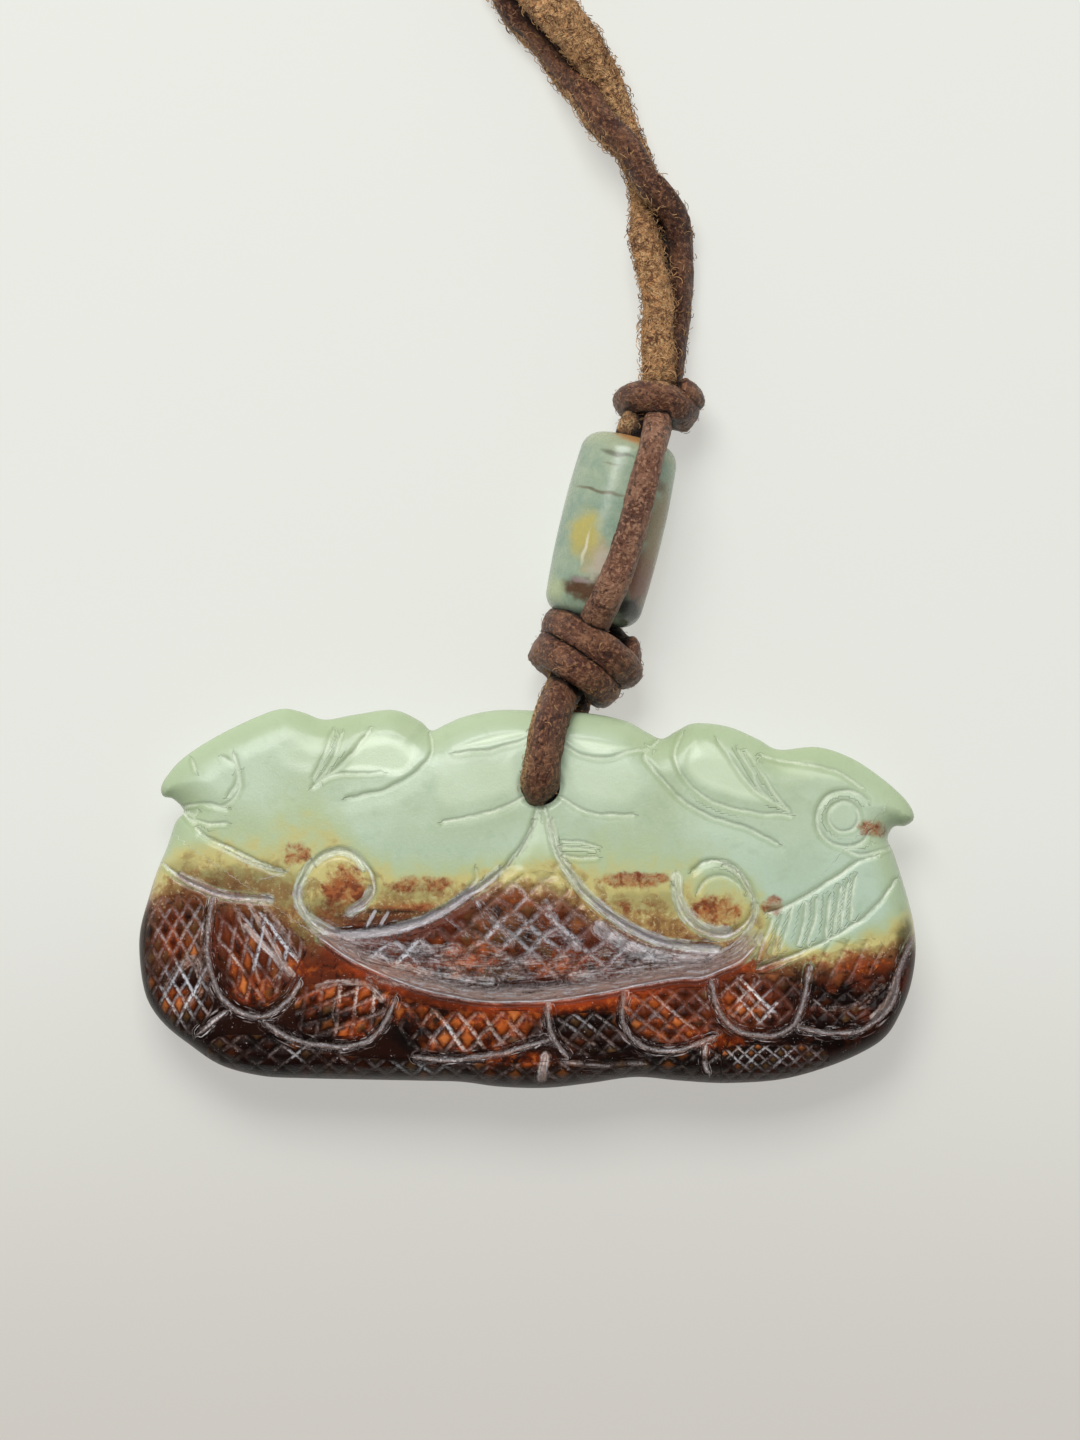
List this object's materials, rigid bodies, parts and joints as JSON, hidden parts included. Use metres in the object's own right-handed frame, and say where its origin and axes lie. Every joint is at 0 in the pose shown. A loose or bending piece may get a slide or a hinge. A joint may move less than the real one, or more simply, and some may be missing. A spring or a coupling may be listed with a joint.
{
  "type": "carved pendant",
  "caption": "Carved jade pendant with a beaked head at each upper end and a netted lower half, looped on a knotted leather thong with a barrel bead.",
  "frame": {"origin": "on the surface that the pendant lies on, under the middle of the pendant's width and height", "axes": "+X along the pendant's width, towards the right of its carved face; +Y towards the thong; +Z out of the carved face, away from the surface"},
  "size_m": [0.0668, 0.1455, 0.0119],
  "materials": {
    "jade": "polished",
    "bead_jade": "polished",
    "leather": "worn satin",
    "suede": "fibrous matte"
  },
  "bodies": {
    "root": {"jade_pendant": "jade", "jade_bead": "bead_jade", "thong_loop_and_knots": "leather", "thong_strand_left": "suede", "thong_strand_right": "leather", "thong_coil": "leather", "coil_tie": "leather", "end_knot": "leather"}
  },
  "joints": []
}
